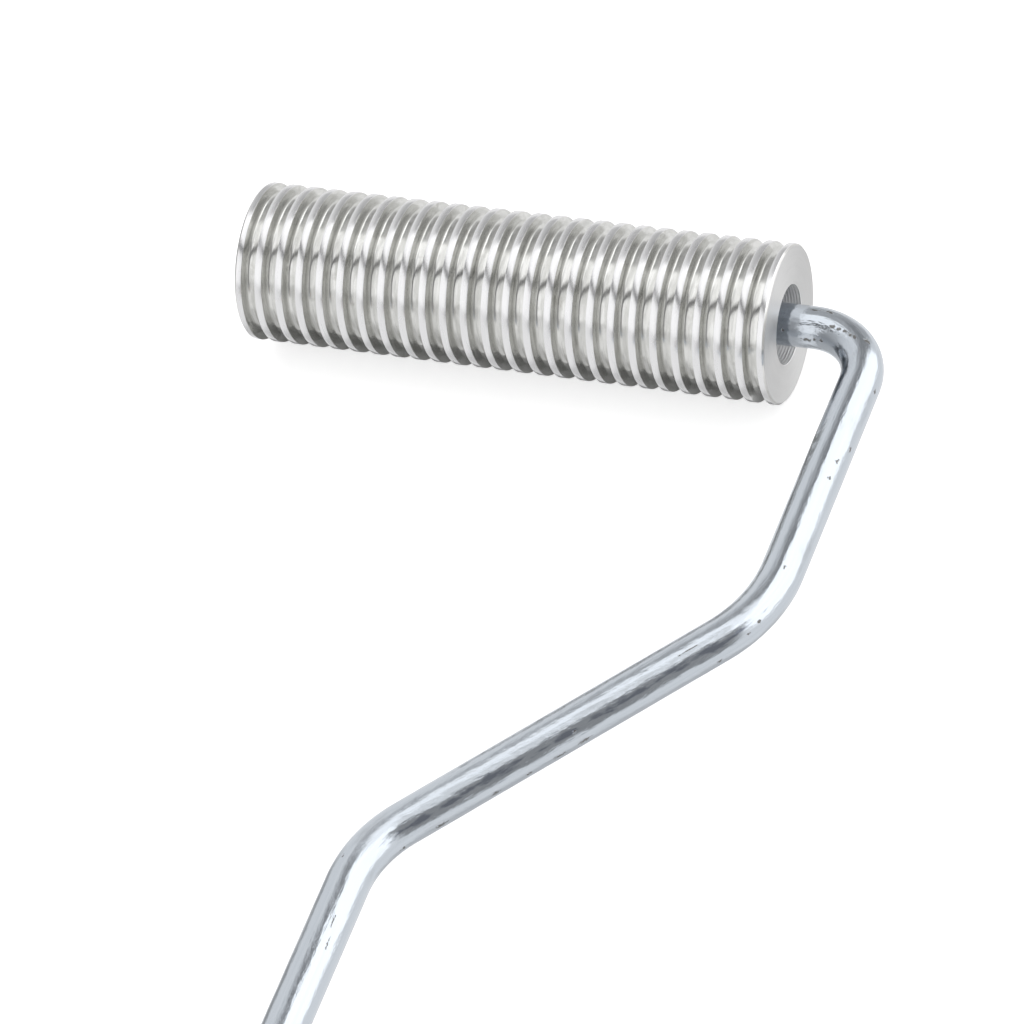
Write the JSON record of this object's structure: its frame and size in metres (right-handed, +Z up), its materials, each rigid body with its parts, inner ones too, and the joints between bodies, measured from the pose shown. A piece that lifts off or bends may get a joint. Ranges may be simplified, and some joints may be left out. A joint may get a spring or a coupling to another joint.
{
  "type": "laminating roller",
  "caption": "Hand roller for pressing air out of wet fibreglass: a ring-grooved aluminium barrel turning on a bent, zinc-plated wire frame with a wooden handle.",
  "frame": {"origin": "on the table, in the middle of the footprint of the tool as it lies on its roller and its handle", "axes": "+X along the roller's axis towards the side where the wire leaves it, +Y from the handle towards the roller, +Z up"},
  "size_m": [0.092, 0.2672, 0.027],
  "materials": {
    "roller_aluminium": "turned, bright, with fine turning lines",
    "frame_zinc": "bright zinc plating, glossy, slightly blue, with pits and stains",
    "fitting_steel": "plated spring steel, satin",
    "ferrule_steel": "drawn plated steel, satin",
    "bush_nylon": "natural nylon, matt",
    "grip_beech": "turned beech, clear lacquer"
  },
  "bodies": {
    "handle_frame": {"wire_frame": "frame_zinc", "handle_grip": "grip_beech", "ferrule": "ferrule_steel", "stop_collar": "fitting_steel", "push_cap": "fitting_steel", "left_thrust_washer": "fitting_steel", "right_thrust_washer": "fitting_steel"},
    "roller": {"roller_barrel": "roller_aluminium", "left_bush": "bush_nylon", "right_bush": "bush_nylon"}
  },
  "joints": [
    {"name": "roller_spin", "type": "hinge", "parent": "handle_frame", "child": "roller", "pos_m": [-0.00768, 0.12257, 0.01101], "axis": [1, 0, 0], "continuous": true}
  ]
}
